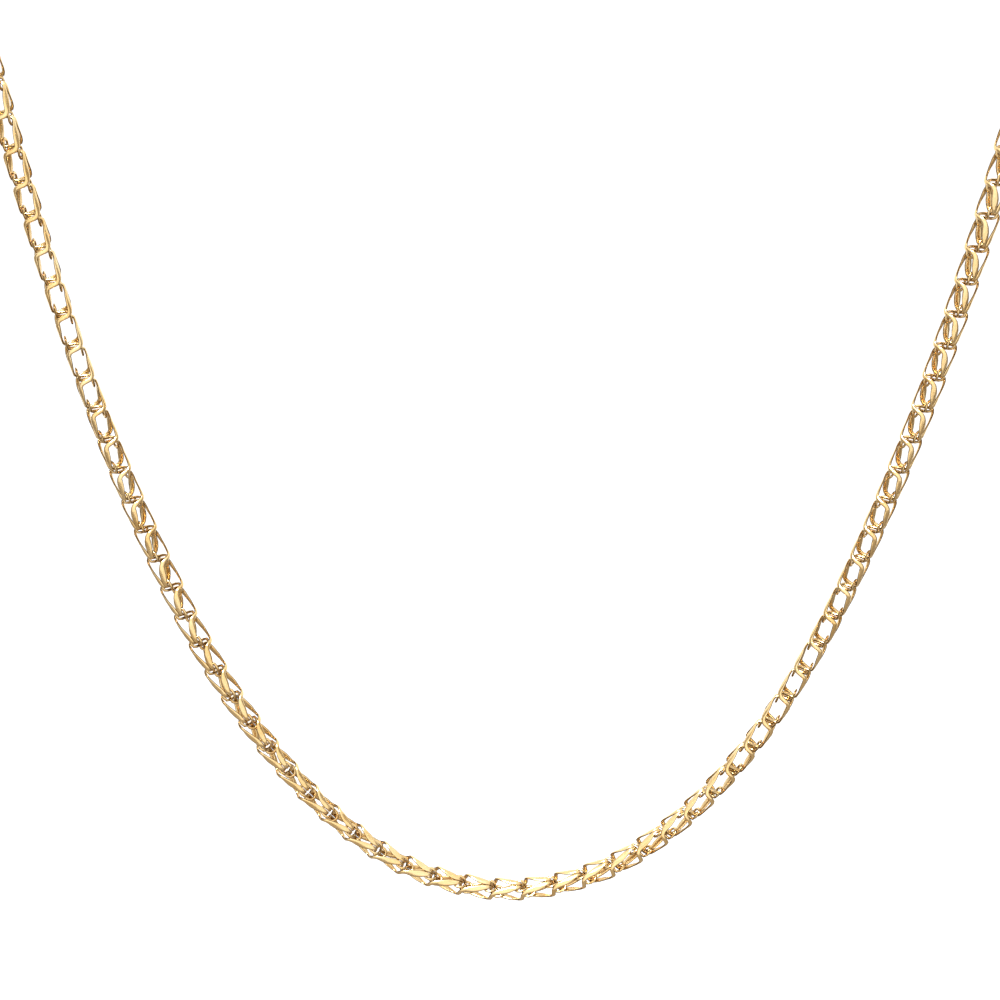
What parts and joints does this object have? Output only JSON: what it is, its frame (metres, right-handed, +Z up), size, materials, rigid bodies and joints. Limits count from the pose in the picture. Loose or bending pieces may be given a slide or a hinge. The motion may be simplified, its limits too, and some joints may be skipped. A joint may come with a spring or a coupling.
{
  "type": "wheat chain necklace",
  "caption": "Gold wheat chain necklace of folded loop-in-loop links, a whole worn loop with a free drop in front and a plain barrel clasp at the nape.",
  "frame": {"origin": "middle of the clasp at the nape, where the necklace hangs from the back of the neck", "axes": "+Z up, +Y to the wearer's back, so the drop hangs on the -Y side and is seen along +Y with +X to the right"},
  "size_m": [0.1066, 0.0896, 0.1185],
  "materials": {
    "chain_gold": "bright polished yellow gold alloy",
    "clasp_gold": "bright polished yellow gold alloy"
  },
  "bodies": {
    "root": {"chain": "chain_gold", "clasp": "clasp_gold"}
  },
  "joints": []
}
